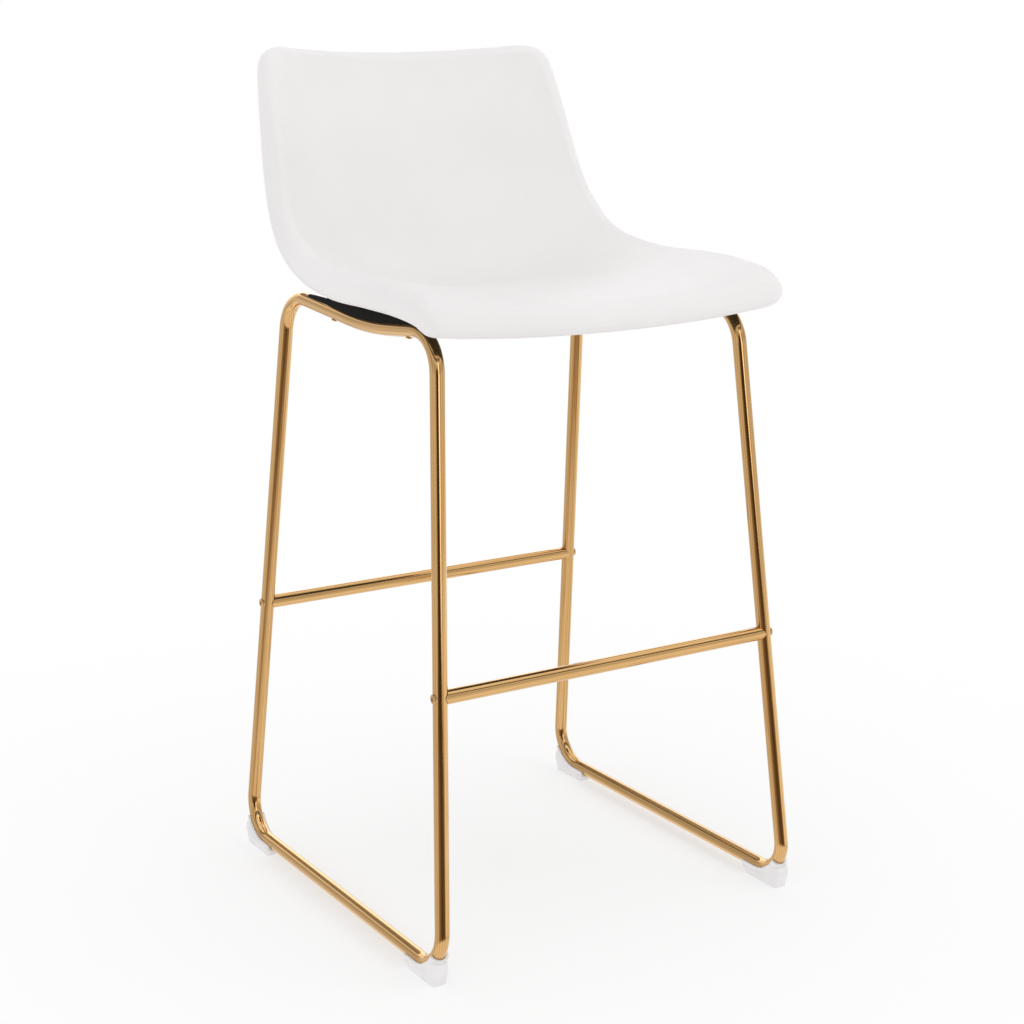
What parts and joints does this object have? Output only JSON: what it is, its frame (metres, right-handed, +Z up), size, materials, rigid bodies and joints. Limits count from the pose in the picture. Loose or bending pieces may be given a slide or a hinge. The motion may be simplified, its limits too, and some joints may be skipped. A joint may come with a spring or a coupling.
{
  "type": "bar stool",
  "caption": "Armless bar stool: padded bucket seat with a low back on two bent-tube sled side frames, joined by a footrest bar and a rear stretcher.",
  "frame": {"origin": "on the floor, under the middle of the stool's bounding box", "axes": "+X to the right of someone who faces the stool from its front, and the nodes named left are on the -X side; the sitter faces -Y; +Z up"},
  "size_m": [0.4862, 0.5303, 0.9778],
  "materials": {
    "polished_gold": "polished gold-coloured plating on steel tube",
    "gold_bolt": "gold-coloured plating on steel",
    "zinc_steel": "zinc plated",
    "white_faux_leather": "smooth matt faux leather",
    "foam": "open-cell polyurethane foam",
    "plywood": "moulded plywood",
    "black_dust_cloth": "non-woven dust cloth",
    "black_plastic": "moulded nylon",
    "white_plastic": "moulded polyethylene"
  },
  "bodies": {
    "root": {"side_frame_left": "polished_gold", "side_frame_right": "polished_gold", "footrest_bar": "polished_gold", "rear_stretcher": "polished_gold", "foot_glide_front_left": "white_plastic", "foot_glide_front_right": "white_plastic", "foot_glide_rear_left": "white_plastic", "foot_glide_rear_right": "white_plastic", "front_bar_left_bolt": "gold_bolt", "front_bar_left_insert": "zinc_steel", "front_bar_right_bolt": "gold_bolt", "front_bar_right_insert": "zinc_steel", "rear_bar_left_bolt": "gold_bolt", "rear_bar_left_insert": "zinc_steel", "rear_bar_right_bolt": "gold_bolt", "rear_bar_right_insert": "zinc_steel", "seat_cover": "white_faux_leather", "back_cover": "white_faux_leather", "seat_foam": "foam", "seat_shell_board": "plywood", "dust_cover": "black_dust_cloth", "seat_front_left_bolt": "gold_bolt", "seat_front_left_t_nut": "zinc_steel", "seat_front_right_bolt": "gold_bolt", "seat_front_right_t_nut": "zinc_steel", "seat_rail_pad_left": "black_plastic", "seat_rail_pad_right": "black_plastic", "seat_rear_left_bolt": "gold_bolt", "seat_rear_left_t_nut": "zinc_steel", "seat_rear_right_bolt": "gold_bolt", "seat_rear_right_t_nut": "zinc_steel"}
  },
  "joints": []
}
